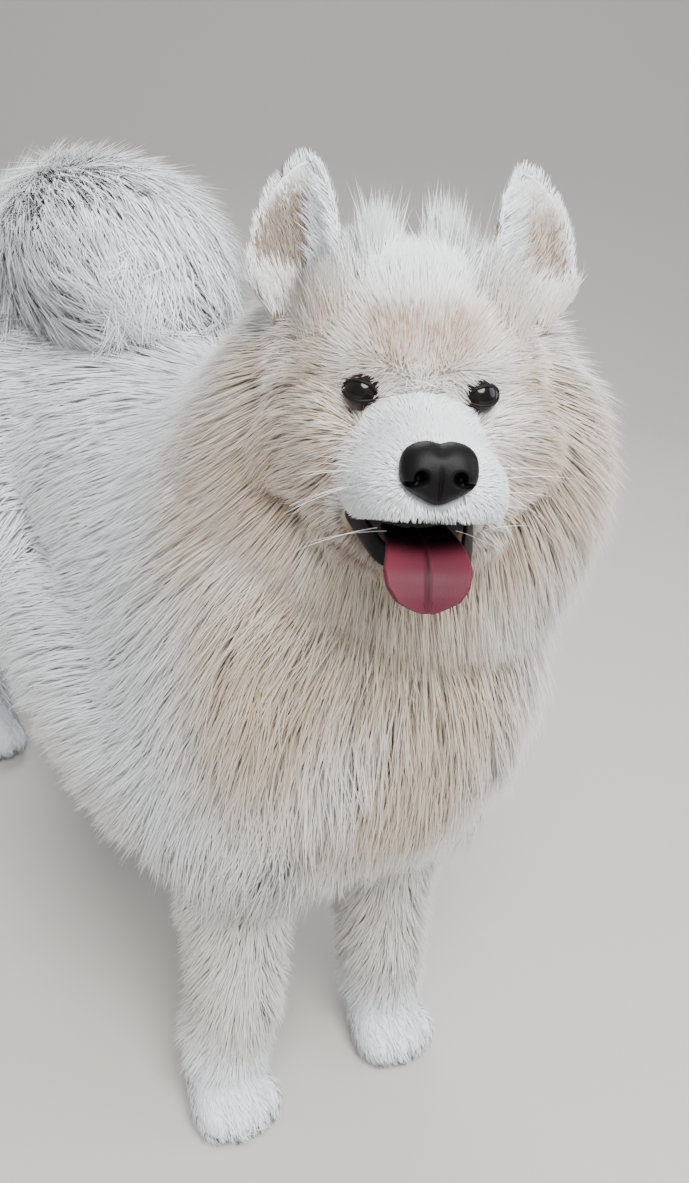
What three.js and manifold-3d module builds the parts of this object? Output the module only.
// A Samoyed, life size, standing square with its head turned to its right and its tongue out in a pant.
// Millimetres, +Z up. The dog faces -Y and its left side is +X. Its four feet stand on one level.
import * as THREE from "three";
import { mergeVertices } from "three/addons/utils/BufferGeometryUtils.js";
import Module from "manifold-3d";

// Driving dimensions of the flesh, without the coat.
const WITHERS = 545;
const BODY_LENGTH = 580;
const CHEST_DEPTH = 250;
const CHEST_WIDTH = 196;
const STANCE = 80; // half the distance between the two feet of a pair
const FORE_FEET_Y = -14;
const HIND_FEET_Y = 562;
const EYE_SPACING = 67;
const EYE_RADIUS = 11;
const SKULL_WIDTH = 116;
const MUZZLE_LENGTH = 78;
const EAR_HEIGHT = 80;
const TONGUE_WIDTH = 45;
const GAP = 0.3; // between nodes that touch
const LOCK_THICKNESS = 0.2; // of a lock's width
const CORE_SHARE = 0.45; // of the coat's depth, filled by the closed core of a node that carries locks

// Coat depths, from the skin out to the tips.
const COAT = { face: 5, skull: 14, crown: 42, cheek: 16, leg: 24, foot: 7, body: 48, belly: 62, ruff: 66, nape: 40, thigh: 32, tail: 66 };

// The head's place and turn, from the point between its eyes.
const HEAD_PLACE = new THREE.Vector3(-69, -108, 631);
const HEAD_TURN = { right: 33, noseUp: 13, tilt: 4.3 };

const wasm = await Module();
wasm.setup();
const v3 = (x, y, z) => new THREE.Vector3(x, y, z);
const rad = THREE.MathUtils.degToRad;
const SIDES = { right: -1, left: 1 };

// A mass of flesh is a signed distance to its skin and the depth of coat on it.
function ellipsoid(centre, semi, coat) {
  const distance = (p) => {
    const x = (p.x - centre.x) / semi.x;
    const y = (p.y - centre.y) / semi.y;
    const z = (p.z - centre.z) / semi.z;
    const k0 = Math.hypot(x, y, z);
    const k1 = Math.hypot(x / semi.x, y / semi.y, z / semi.z);
    return k1 < 1e-9 ? -Math.min(semi.x, semi.y, semi.z) : (k0 * (k0 - 1)) / k1;
  };
  return { distance, coat };
}

// A limb is a rod between two points whose radius runs from one value to another.
function limb(from, to, fromRadius, toRadius, coat) {
  const axis = to.clone().sub(from);
  const distance = (p) => {
    const along = THREE.MathUtils.clamp(p.clone().sub(from).dot(axis) / axis.lengthSq(), 0, 1);
    const nearest = from.clone().addScaledVector(axis, along);
    return p.distanceTo(nearest) - THREE.MathUtils.lerp(fromRadius, toRadius, along);
  };
  return { distance, coat };
}

// The smooth union of masses, at a share of the coat's depth: 0 is the skin and 1 the tips.
function fleshField(masses, softness, share) {
  return (p) => {
    let sum = 0;
    for (const mass of masses) sum += Math.exp(-(mass.distance(p) - share * mass.coat) / softness);
    return -softness * Math.log(sum);
  };
}

// The first point of a surface met from inside it, going one way.
function march(field, from, way) {
  const p = from.clone();
  for (let i = 0; i < 80; i += 1) {
    const depth = field(p);
    if (depth > -0.005) break;
    p.addScaledVector(way, -depth * 0.9);
  }
  return p;
}

// A frame that goes along a spine: its tangent, a sideways and an outward direction.
function frameAt(spine, t, sideways) {
  const along = spine.getTangent(t);
  const side = sideways.clone().addScaledVector(along, -sideways.dot(along)).normalize();
  return { point: spine.getPoint(t), along, side, out: side.clone().cross(along) };
}

// The corners of a capsule as places on a spine: t along it and a way out of it.
function capsuleCorners(sides, rings, capRings) {
  const capsule = new THREE.CapsuleGeometry(1, 2, capRings, sides, rings);
  capsule.deleteAttribute("normal");
  capsule.deleteAttribute("uv");
  const shell = mergeVertices(capsule, 1e-4);
  const corners = [];
  for (let i = 0; i < shell.attributes.position.count; i += 1) {
    const p = new THREE.Vector3().fromBufferAttribute(shell.attributes.position, i);
    const onAxis = THREE.MathUtils.clamp(p.y, -1, 1);
    corners.push({ t: (onAxis + 1) / 2, x: p.x, y: p.y - onAxis, z: p.z });
  }
  return { shell, corners };
}

function setCorners(shell, points) {
  points.forEach((p, i) => shell.attributes.position.setXYZ(i, p.x, p.y, p.z));
  return shell;
}

function solidOf(geometry) {
  geometry.deleteAttribute("normal");
  geometry.deleteAttribute("uv");
  const shell = mergeVertices(geometry, 1e-4);
  return new wasm.Manifold(new wasm.Mesh({
    numProp: 3,
    vertProperties: new Float32Array(shell.attributes.position.array),
    triVerts: new Uint32Array(shell.index.array),
  }));
}

// The way straight out of a field's surface.
function outOf(field, p) {
  const step = 0.5;
  const change = (way) => field(p.clone().addScaledVector(way, step)) - field(p.clone().addScaledVector(way, -step));
  return v3(change(v3(1, 0, 0)), change(v3(0, 1, 0)), change(v3(0, 0, 1))).normalize();
}

// Shrinks a capsule onto a field: each corner is marched outwards from the spine, and then grown.
function wrap(field, spine, grow, { sides, rings, capRings = 3, sideways = v3(1, 0, 0) }) {
  const { shell, corners } = capsuleCorners(sides, rings, capRings);
  const points = corners.map(({ t, x, y, z }) => {
    const f = frameAt(spine, t, sideways);
    const way = f.side.multiplyScalar(x).addScaledVector(f.along, y).addScaledVector(f.out, z);
    const p = march(field, f.point, way.normalize());
    return p.addScaledVector(outOf(field, p), grow * 1.2);
  });
  return solidOf(setCorners(shell, points));
}

// A band along a curve, whose half width and half thickness change along it.
function band(curve, halfWidth, halfThick, grow, { sides = 10, rings = 10, capRings = 2, sideways = v3(1, 0, 0) }) {
  const { shell, corners } = capsuleCorners(sides, rings, capRings);
  const points = corners.map(({ t, x, y, z }) => {
    const f = frameAt(curve, t, sideways);
    return f.point.addScaledVector(f.side, x * (halfWidth(t) + grow))
      .addScaledVector(f.along, y * (Math.min(halfWidth(t), 2 * halfThick(t)) + grow))
      .addScaledVector(f.out, z * (halfThick(t) + grow));
  });
  return solidOf(setCorners(shell, points));
}

function ball(centre, semi, { wide = 16, high = 12, turn = new THREE.Euler() } = {}) {
  const sphere = new THREE.SphereGeometry(1, wide, high);
  sphere.scale(semi.x, semi.y, semi.z);
  sphere.applyQuaternion(new THREE.Quaternion().setFromEuler(turn));
  sphere.translate(centre.x, centre.y, centre.z);
  return solidOf(sphere);
}

// A solid carried by a matrix, corner by corner.
function moved(solid, matrix) {
  const mesh = solid.getMesh();
  const corners = new THREE.BufferAttribute(new Float32Array(mesh.vertProperties), 3).applyMatrix4(matrix);
  return new wasm.Manifold(new wasm.Mesh({
    numProp: 3,
    vertProperties: corners.array,
    triVerts: mesh.triVerts,
  }));
}

// Seeded draws, so that the locks vary the same way each time.
function draws(seed) {
  let state = seed;
  return () => {
    state = (state * 1664525 + 1013904223) % 4294967296;
    return state / 4294967296;
  };
}

// One lock of the coat: a flat spindle with a ridge along it, which leaves its root, bends and ends in a point.
function lock(root, knee, tip, normal, width, grow) {
  const path = new THREE.QuadraticBezierCurve3(root, knee, tip);
  const spindle = new THREE.SphereGeometry(1, 3, 4).rotateY(-Math.PI / 2);
  spindle.deleteAttribute("normal");
  spindle.deleteAttribute("uv");
  const shell = mergeVertices(spindle, 1e-4);
  const points = [];
  const room = { wide: 6 * grow, deep: 2.5 * grow }; // sharp corners move further than the faces between them
  const ends = { root: path.getPoint(0.15).sub(root).normalize(), tip: tip.clone().sub(path.getPoint(0.85)).normalize() };
  for (let i = 0; i < shell.attributes.position.count; i += 1) {
    const q = new THREE.Vector3().fromBufferAttribute(shell.attributes.position, i);
    const u = (1 + q.y) / 2;
    const along = path.getTangent(u);
    const side = along.clone().cross(normal).normalize();
    const taper = 1.35 * Math.pow(1 - u, 0.62);
    points.push(path.getPoint(u)
      .addScaledVector(side, q.x * (0.58 * width * taper + room.wide))
      .addScaledVector(side.clone().cross(along), q.z * (0.62 * width * LOCK_THICKNESS * taper + room.deep))
      .addScaledVector(q.y < 0 ? ends.root : ends.tip, q.y * room.deep));
  }
  return solidOf(setCorners(shell, points));
}

// The locks of a coated node, in rows round a spine, each laid over the next and out to the tips.
// Every other lock of a row lies lower, so that neighbours pass over one another. The locks stay over
// the coat of the masses in over. One that would run into a field in clear is made shorter or left out.
function locks({ masses, over = [], softness, spine, rows, lie, clear = [], seed }, grow) {
  const core = fleshField(masses, softness, CORE_SHARE);
  const tips = fleshField([...masses, ...over], softness, 1);
  const draw = draws(seed);
  const made = [];
  for (const { t, tilt = 0, from = 0, to = 360, count, length, width, round = spine, way: combed = lie } of rows) {
    for (let k = 0; k < count; k += 1) {
      const level = k % 2 === 0 ? 1 : 0.75;
      const turn = rad(from + (to - from) * (k + 0.5 + (draw() - 0.5) * 0.4) / count);
      const lean = rad(tilt + (draw() - 0.5) * 10);
      const size = 0.85 + 0.3 * draw();
      const f = frameAt(round, THREE.MathUtils.clamp(t + (draw() - 0.5) * 0.05, 0, 1), v3(1, 0, 0));
      const ray = f.side.multiplyScalar(Math.cos(turn) * Math.cos(lean))
        .addScaledVector(f.out, Math.sin(turn) * Math.cos(lean))
        .addScaledVector(f.along, Math.sin(lean));
      const root = march(core, f.point, ray);
      const normal = outOf(core, root);
      const way = combed(root);
      way.addScaledVector(normal, -way.dot(normal)).normalize();
      const onTips = (p, share) => p.addScaledVector(outOf(tips, p), -tips(p) * share);
      for (const reach of [length * size, length * size * 0.6]) {
        const tip = onTips(root.clone().addScaledVector(way, reach), 0.7 + 0.3 * level);
        const knee = onTips(root.clone().addScaledVector(way, reach * 0.45), 0.95 * level);
        if (clear.some((other) => other(tip) < 0 || other(knee) < -width * 0.2)) continue;
        const sunk = root.clone().addScaledVector(normal, -width * 0.25);
        made.push(lock(sunk, knee, tip, normal, width * size, grow));
        break;
      }
    }
  }
  return made;
}

// A coated node: a closed core part of the way to the tips, with its locks joined to it.
function coated(coat, wrapping) {
  return (grow) => {
    const core = wrap(fleshField(coat.masses, coat.softness, CORE_SHARE), coat.spine, grow, wrapping);
    return wasm.Manifold.union([core, ...locks(coat, grow)]);
  };
}

// The largest closed surface of a solid: a cut can leave scraps and a union can seal a hollow.
function largest(solid) {
  return solid.decompose().sort((a, b) => b.volume() - a.volume())[0];
}

function geometryOf(solid) {
  const mesh = solid.getMesh();
  const geometry = new THREE.BufferGeometry();
  geometry.setAttribute("position", new THREE.BufferAttribute(mesh.vertProperties, 3));
  geometry.setIndex(new THREE.BufferAttribute(mesh.triVerts, 1));
  geometry.computeVertexNormals();
  return geometry;
}

// Finishes.
const finish = (color, roughness) => new THREE.MeshStandardMaterial({ color, roughness, metalness: 0 });
const WHITE_COAT = finish(0xefebe3, 0.9);
const CREAM_COAT = finish(0xe2d7c6, 0.9);
const FACE_COAT = finish(0xf1eee8, 0.88);
const NOSE_LEATHER = finish(0x1c1b1e, 0.4);
const EYE = finish(0x150f0d, 0.08);
const TONGUE = finish(0xc66f7c, 0.45);
const JAW_COAT = finish(0xe4dccd, 0.85);

// The scene: the head has a group of its own, so its pieces are built straight and turned together.
const dog = new THREE.Group();
const head = new THREE.Group();
head.position.copy(HEAD_PLACE);
head.rotation.set(-rad(HEAD_TURN.noseUp), -rad(HEAD_TURN.tilt), -rad(HEAD_TURN.right), "ZXY");
head.updateMatrix();
dog.add(head);

// A node keeps its shape grown by the gap, which cuts the nodes that are made after it.
const made = new Map();
function node(name, group, material, shape, neighbours) {
  const intoGroup = group.matrix.clone().invert();
  let solid = shape(0);
  for (const other of neighbours) {
    const { grown, matrix } = made.get(other);
    solid = solid.subtract(moved(grown, intoGroup.clone().multiply(matrix)));
  }
  made.set(name, { grown: shape(GAP), matrix: group.matrix });
  const mesh = new THREE.Mesh(geometryOf(largest(solid)), material);
  mesh.name = name;
  group.add(mesh);
}

const pair = (mass) => [mass(SIDES.right), mass(SIDES.left)];

// Head: skull, brow, cheeks and muzzle under short fur, and a deep tuft of crown beside each ear.
const NOSE_PLACE = v3(0, -MUZZLE_LENGTH - 1, -33);
const HEAD_MASSES = [
  ellipsoid(v3(0, 62, 18), v3(SKULL_WIDTH / 2, 58, 45), COAT.skull),
  ...pair((s) => ellipsoid(v3(s * 22, 18, 20), v3(19, 18, 13), 6)),
  ...pair((s) => ellipsoid(v3(s * 18, 88, 58), v3(10, 10, 8), COAT.crown)),
  ...pair((s) => ellipsoid(v3(s * 38, 56, -24), v3(27, 42, 34), COAT.cheek)),
  limb(v3(0, 4, -35), v3(0, -60, -42), 31, 23, COAT.face),
  ...pair((s) => ellipsoid(v3(s * 15, -58, -44), v3(17, 22, 17), COAT.face)),
  ...pair((s) => ellipsoid(v3(s * 23, -26, -50), v3(15, 34, 17), COAT.face)),
];
const headField = fleshField(HEAD_MASSES, 5.5, 1);
const HEAD_SPINE = new THREE.QuadraticBezierCurve3(v3(0, 78, 2), v3(0, 20, 0), v3(0, -58, -40));

// Eyes, set back in the head along their gaze.
const gaze = (s) => v3(s * 0.32, -0.94, 0.04).normalize();
const eyePlace = (s) => {
  const onFace = march(headField, v3(s * (EYE_SPACING / 2 - 8), 24, 0), gaze(s));
  return onFace.addScaledVector(gaze(s), -EYE_RADIUS + 1);
};
for (const [side, s] of Object.entries(SIDES)) {
  const place = eyePlace(s);
  const eyeball = (grow) => ball(place, v3(1, 1, 1).multiplyScalar(EYE_RADIUS + grow), { wide: 12, high: 8 });
  node(`eye_${side}`, head, EYE, eyeball, []);
}

const lid = (s, grow) => ball(eyePlace(s), v3(1, 1, 1).multiplyScalar(EYE_RADIUS + 2.2 + grow), { wide: 14, high: 8 });
const lidOpening = (s, grow) => ball(
  eyePlace(s).addScaledVector(gaze(s), EYE_RADIUS),
  v3(9.8 - grow, 6, 5.6 - grow),
  { turn: new THREE.Euler(0, -s * rad(9), s * rad(21)) },
);

// Nose leather with its wings, nostrils and the groove between them.
const NOSE_MASSES = [
  ellipsoid(NOSE_PLACE, v3(15, 12, 15), 0),
  ...pair((s) => ellipsoid(NOSE_PLACE.clone().add(v3(s * 10.5, -3, -1)), v3(8.5, 9, 8.5), 0)),
];
const NOSE_SPINE = new THREE.LineCurve3(NOSE_PLACE.clone().add(v3(0, 5, 0)), NOSE_PLACE.clone().add(v3(0, -4, 0)));
function noseShape(grow) {
  let nose = wrap(fleshField(NOSE_MASSES, 2.5, 0), NOSE_SPINE, grow, { sides: 12, rings: 2, capRings: 3 });
  if (grow > 0) return nose;
  for (const s of Object.values(SIDES)) {
    const nostril = NOSE_PLACE.clone().add(v3(s * 10, -13, -2));
    nose = nose.subtract(ball(nostril, v3(4, 5, 3.4), { wide: 8, high: 6, turn: new THREE.Euler(0, s * 0.5, 0) }));
    const slit = NOSE_PLACE.clone().add(v3(s * 15, -10, -5));
    nose = nose.subtract(ball(slit, v3(4.6, 4, 1.5), { wide: 8, high: 6, turn: new THREE.Euler(0, s * 0.5, 0) }));
  }
  const groove = NOSE_PLACE.clone().add(v3(0, -14.5, -9));
  return nose.subtract(ball(groove, v3(1, 4.5, 9), { wide: 8, high: 6 }));
}
node("nose", head, NOSE_LEATHER, noseShape, []);

// The mouth: all below this line of the lips is cut away from the head, and so is the roof between them.
function belowLips(grow) {
  const outline = new THREE.Shape();
  outline.moveTo(8, -66 + grow);
  outline.quadraticCurveTo(-4, -60 + grow, -20, -63 + grow);
  outline.quadraticCurveTo(-38, -67 + grow, -56, -60 + grow);
  outline.quadraticCurveTo(-72, -54 + grow, -110, -54 + grow);
  outline.lineTo(-110, -140);
  outline.lineTo(8, -140);
  const cutter = new THREE.ExtrudeGeometry(outline, { depth: 120, bevelEnabled: false, curveSegments: 5 });
  cutter.translate(0, 0, -60);
  cutter.applyMatrix4(new THREE.Matrix4().makeBasis(v3(0, 1, 0), v3(0, 0, 1), v3(1, 0, 0)));
  return solidOf(cutter);
}
const MOUTH_ROOF = { centre: v3(0, -24, -62), semi: v3(25, 46, 13) };

function headShape(grow) {
  let skull = wrap(headField, HEAD_SPINE, grow, { sides: 24, rings: 14, capRings: 4 });
  for (const s of Object.values(SIDES)) {
    skull = skull.add(lid(s, grow)).subtract(lidOpening(s, grow));
  }
  skull = skull.subtract(belowLips(-grow));
  skull = skull.subtract(ball(MOUTH_ROOF.centre, MOUTH_ROOF.semi.clone().subScalar(grow), { wide: 12, high: 8 }));
  const philtrum = ball(v3(0, -MUZZLE_LENGTH - 6, -52), v3(1.2, 5, 9), { wide: 8, high: 6 });
  return skull.subtract(philtrum);
}
node("head", head, FACE_COAT, headShape, ["eye_right", "eye_left", "nose"]);

// Ears: rounded triangles with a cup in front.
const earBase = (s) => v3(s * 66, 70, 54);
const earTip = (s) => v3(s * 61, 84, 50 + EAR_HEIGHT);
for (const [side, s] of Object.entries(SIDES)) {
  const sideways = v3(Math.cos(s * rad(24)), Math.sin(s * rad(24)), 0.12 * s);
  const rise = new THREE.QuadraticBezierCurve3(earBase(s), v3(s * 70, 72, 98), earTip(s));
  const halfWidth = (t) => 36 - 27 * Math.pow(t, 1.6);
  const halfThick = (t) => 15 - 10 * t;
  const ear = (grow) => {
    const outer = band(rise, halfWidth, halfThick, grow, { sides: 12, rings: 5, capRings: 2, sideways });
    if (grow > 0) return outer;
    const f = frameAt(rise, 0.42, sideways);
    const cup = band(
      new THREE.QuadraticBezierCurve3(
        rise.getPoint(0.06).addScaledVector(f.out, 13),
        rise.getPoint(0.5).addScaledVector(f.out, 8),
        rise.getPoint(0.9).addScaledVector(f.out, 6.5),
      ),
      (t) => 27 - 20 * Math.pow(t, 1.3), (t) => 10 - 5.5 * t, 0, { sides: 8, rings: 4, capRings: 2, sideways },
    );
    return outer.subtract(cup);
  };
  node(`ear_${side}`, head, CREAM_COAT, ear, ["head"]);
}

// Jaw, dropped open, and the tongue that lies in it and hangs over its front.
const JAW_MASSES = [
  limb(v3(0, 34, -72), v3(0, -42, -93), 27, 15, COAT.face),
  ...pair((s) => ellipsoid(v3(s * 30, 26, -66), v3(14, 26, 16), 10)),
  ...pair((s) => ellipsoid(v3(s * 17, -14, -81), v3(12, 42, 11), COAT.face)),
];
const TONGUE_PATH = new THREE.CatmullRomCurve3([
  v3(0, -2, -73), v3(0, -34, -73), v3(0, -60, -75), v3(0, -74, -82), v3(0, -79, -92), v3(0, -80, -102),
]);
const tongueHalfWidth = (t) => TONGUE_WIDTH / 2
  * (0.86 + 0.14 * Math.sin(Math.PI * Math.min(1, t * 0.9)) - 0.3 * THREE.MathUtils.smoothstep(t, 0.7, 1));
function tongueShape(grow) {
  const tongue = band(TONGUE_PATH, tongueHalfWidth, () => 3.6, grow, { sides: 10, rings: 9, capRings: 2 });
  if (grow > 0) return tongue;
  const above = TONGUE_PATH.points.slice(1).map((p, i) => p.clone().add(i < 2 ? v3(0, -1, 3.6) : v3(0, -3.6, 0)));
  return tongue.subtract(band(new THREE.CatmullRomCurve3(above), () => 1.1, () => 1.3, 0, { sides: 4, rings: 8 }));
}
node("tongue", head, TONGUE, tongueShape, ["head"]);
const jawShape = (grow) => wrap(
  fleshField(JAW_MASSES, 5, 1),
  new THREE.LineCurve3(v3(0, 30, -74), v3(0, -42, -93)),
  grow,
  { sides: 12, rings: 5, capRings: 3 },
);
node("jaw", head, JAW_COAT, jawShape, ["head", "tongue"]);

// Feet: a furry pad of flesh with four toes, flat where it stands.
const FLOOR = solidOf(new THREE.BoxGeometry(900, 1600, 200).translate(0, 300, -100));
function footMasses(s, centreY, length) {
  const x = s * STANCE;
  const toes = [-1.5, -0.5, 0.5, 1.5].map((place) => {
    const forward = Math.abs(place) < 1 ? 0.76 : 0.58;
    return ellipsoid(v3(x + place * 16, centreY - length * forward, 18), v3(10, 19, 15), COAT.foot);
  });
  return [ellipsoid(v3(x, centreY, 27), v3(28, length, 22), COAT.foot), ...toes];
}
function footShape(s, centreY, length, ankle) {
  const masses = [...footMasses(s, centreY, length), limb(v3(s * STANCE, centreY + 6, 40), ankle, 22, 22, 15)];
  const spine = new THREE.LineCurve3(v3(s * STANCE, centreY + length * 0.25, 24), v3(s * STANCE, centreY - length * 0.5, 20));
  return (grow) => wrap(fleshField(masses, 3, 1), spine, grow, { sides: 14, rings: 2, capRings: 3 })
    .subtract(FLOOR);
}
for (const [side, s] of Object.entries(SIDES)) {
  node(`forepaw_${side}`, dog, WHITE_COAT, footShape(s, FORE_FEET_Y, 34, v3(s * STANCE, FORE_FEET_Y + 14, 62)), []);
  node(`hindpaw_${side}`, dog, WHITE_COAT, footShape(s, HIND_FEET_Y, 32, v3(s * STANCE, HIND_FEET_Y + 20, 58)), []);
}

// Forelegs, from inside the chest down to the feet.
const elbow = (s) => v3(s * (STANCE - 6), 24, 265);
const wrist = (s) => v3(s * (STANCE - 8), -3, 105);
for (const [side, s] of Object.entries(SIDES)) {
  const masses = [
    limb(v3(s * 71, 26, 300), elbow(s), 42, 38, COAT.leg + 2),
    limb(elbow(s), wrist(s), 36, 20, COAT.leg),
    limb(wrist(s), v3(s * STANCE, -2, 58), 20, 19, COAT.leg - 3),
  ];
  const spine = new THREE.CatmullRomCurve3([v3(s * 71, 26, 312), elbow(s), wrist(s), v3(s * STANCE, -2, 62)]);
  const leg = (grow) => wrap(fleshField(masses, 6, 1), spine, grow, { sides: 10, rings: 5 });
  node(`foreleg_${side}`, dog, WHITE_COAT, leg, [`forepaw_${side}`]);
}

// Lower hind legs: hock and rear pastern.
const stifle = (s) => v3(s * 86, 385, 300);
const hock = (s) => v3(s * STANCE, HIND_FEET_Y + 38, 160);
for (const [side, s] of Object.entries(SIDES)) {
  const masses = [
    limb(stifle(s).add(v3(0, 60, -30)), hock(s), 46, 25, COAT.leg - 2),
    limb(hock(s), v3(s * STANCE, HIND_FEET_Y + 22, 55), 24, 22, COAT.leg - 8),
  ];
  const spine = new THREE.QuadraticBezierCurve3(
    stifle(s).add(v3(0, 80, -50)), hock(s).add(v3(0, 12, -4)), v3(s * STANCE, HIND_FEET_Y + 22, 60),
  );
  const leg = (grow) => wrap(fleshField(masses, 6, 1), spine, grow, { sides: 10, rings: 5 });
  node(`hock_${side}`, dog, WHITE_COAT, leg, [`hindpaw_${side}`]);
}

// The masses of the trunk, the thighs and the tail, which lie over one another.
const TORSO_MASSES = [
  ellipsoid(v3(0, 140, WITHERS - 0.52 * CHEST_DEPTH), v3(CHEST_WIDTH / 2, 185, CHEST_DEPTH / 2), COAT.body),
  ellipsoid(v3(0, -5, 392), v3(84, 64, 94), COAT.belly),
  ...pair((s) => ellipsoid(v3(s * 66, 35, 410), v3(46, 78, 110), COAT.body)),
  ellipsoid(v3(0, 330, 440), v3(80, 140, 92), COAT.body),
  ellipsoid(v3(0, 0.785 * BODY_LENGTH, 448), v3(80, 90, 84), COAT.body - 4),
  ...pair((s) => ellipsoid(v3(s * 68, 168, 284), v3(44, 180, 56), COAT.belly)),
];
const thighMasses = (s) => [
  limb(v3(s * 60, 450, 415), stifle(s), 68, 54, COAT.thigh),
  limb(v3(s * 64, 485, 400), v3(s * 76, 520, 285), 58, 42, COAT.thigh + 18),
];
const TAIL_PATH = new THREE.CatmullRomCurve3([
  v3(0, 505, 500), v3(-8, 548, 545), v3(-16, 510, 588), v3(-22, 440, 600), v3(-22, 380, 604), v3(-18, 326, 602),
]);
const TAIL_SPLIT = 0.36;
const tailRod = (from, to, coat) => {
  const steps = [0, 1, 2, 3, 4].map((k) => TAIL_PATH.getPoint(from + (to - from) * k / 4));
  return steps.slice(1).map((p, k) => limb(steps[k], p, 24, 22, coat));
};
const stretch = (from, to) => new THREE.LineCurve3(TAIL_PATH.getPoint(from), TAIL_PATH.getPoint(to));
const ROOT_MASSES = tailRod(0.04, TAIL_SPLIT, COAT.tail * 0.75);
const PLUME_MASSES = tailRod(TAIL_SPLIT, 1, COAT.tail);

// Neck and ruff.
const NECK_MASSES = [
  limb(v3(0, 95, 482), v3(-14, 6, 572), 72, 62, COAT.nape),
  limb(v3(20, 44, 478), v3(24, 2, 541), 76, 82, COAT.ruff),
];
const NECK_SPINE = new THREE.LineCurve3(v3(0, 70, 482), v3(-11, 2, 552));
const byNeck = ["head", "jaw", "tongue", "ear_right", "ear_left", "foreleg_right", "foreleg_left"];
node("neck", dog, CREAM_COAT, coated({
  masses: NECK_MASSES,
  over: TORSO_MASSES,
  softness: 15,
  spine: NECK_SPINE,
  rows: [
    { t: 1, tilt: 40, count: 8, length: 110, width: 74, way: () => v3(0.4, 0.7, -0.45) },
    { t: 1, tilt: 5, from: 130, to: 410, count: 10, length: 150, width: 86, way: () => v3(0.35, 0.7, -0.6) },
    { t: 0.78, from: 145, to: 395, count: 9, length: 185, width: 92 },
  ],
  lie: () => v3(0.1, 0.75, -1),
  seed: 11,
}, { sides: 16, rings: 2, capRings: 4 }), byNeck);

// Tail, curled forward over the back.
node("tail_root", dog, WHITE_COAT, coated({
  masses: ROOT_MASSES,
  softness: 10,
  spine: stretch(0.05, TAIL_SPLIT - 0.02),
  rows: [
    { t: 0.4, count: 6, length: 80, width: 56 },
  ],
  lie: () => v3(0, 0.5, 1),
  seed: 53,
}, { sides: 12, rings: 3, capRings: 3 }), []);

// Torso.
const TORSO_SPINE = new THREE.QuadraticBezierCurve3(v3(0, 0, 385), v3(0, 220, 415), v3(0, 470, 445));
const legs = ["foreleg", "hock"].flatMap((name) => Object.keys(SIDES).map((side) => `${name}_${side}`));
const tipsOf = (masses) => fleshField(masses, 12, 1);
const CHEST_LINE = new THREE.LineCurve3(v3(0, 30, 470), v3(0, 40, 300));
const flankLie = (p) => v3(0, 0.1 + 0.9 * THREE.MathUtils.smoothstep(p.y, -60, 160), -0.8);
node("torso", dog, WHITE_COAT, coated({
  masses: TORSO_MASSES,
  softness: 15,
  spine: TORSO_SPINE,
  rows: [
    { t: 0, from: 190, to: 350, count: 5, length: 150, width: 88, round: CHEST_LINE },
    { t: 0.3, from: 165, to: 375, count: 6, length: 165, width: 92, round: CHEST_LINE },
    { t: 0.75, from: 180, to: 360, count: 5, length: 130, width: 88, round: CHEST_LINE },
    ...[0.33, 0.58].flatMap((t) => [
      { t, from: -75, to: 45, count: 4, length: 170, width: 92 },
      { t, from: 135, to: 255, count: 4, length: 170, width: 92 },
    ]),
    { t: 0.8, from: -85, to: -20, count: 2, length: 140, width: 90 },
    { t: 0.8, from: 200, to: 265, count: 2, length: 140, width: 90 },
  ],
  lie: flankLie,
  clear: [tipsOf(NECK_MASSES), tipsOf(PLUME_MASSES), tipsOf(thighMasses(1)), tipsOf(thighMasses(-1))],
  seed: 23,
}, { sides: 16, rings: 8, capRings: 3 }), ["neck", "tail_root", ...legs]);

// Thighs and breeches.
for (const [side, s] of Object.entries(SIDES)) {
  const outside = s > 0 ? [-60, 100] : [80, 240];
  const thigh = coated({
    masses: thighMasses(s),
    softness: 12,
    spine: new THREE.LineCurve3(v3(s * 66, 450, 400), v3(s * 78, 440, 290)),
    rows: [
      { t: 0, tilt: -25, from: outside[0], to: outside[1], count: 3, length: 120, width: 86 },
      { t: 0.3, from: outside[0], to: outside[1], count: 4, length: 130, width: 88 },
      { t: 0.8, from: outside[0], to: outside[1], count: 4, length: 120, width: 80 },
    ],
    lie: () => v3(0, 0.55, -1),
    seed: 41 + s,
  }, { sides: 14, rings: 3, capRings: 3 });
  const other = s > 0 ? ["thigh_right"] : [];
  node(`thigh_${side}`, dog, WHITE_COAT, thigh, ["torso", "tail_root", "hock_right", "hock_left", ...other]);
}

// Tail plume.
node("tail_plume", dog, WHITE_COAT, coated({
  masses: PLUME_MASSES,
  over: TORSO_MASSES,
  softness: 10,
  spine: stretch(TAIL_SPLIT + 0.03, 0.97),
  rows: [
    { t: 0.1, count: 6, length: 150, width: 78 },
    { t: 0.5, count: 6, length: 150, width: 80 },
    { t: 0.95, count: 6, length: 125, width: 74 },
  ],
  lie: (p) => v3((p.x + 30) / 60, -1, (p.z - 610) / 100),
  seed: 67,
}, { sides: 12, rings: 3, capRings: 3 }), ["tail_root", "torso", "thigh_right", "thigh_left", "neck"]);

// The origin is below the middle of the whole dog, on the level of its feet.
const samoyed = new THREE.Group();
const extent = new THREE.Box3().setFromObject(dog, true);
const middle = extent.getCenter(v3(0, 0, 0));
dog.position.set(-middle.x, -middle.y, -extent.min.z);
samoyed.add(dog);

export default samoyed;
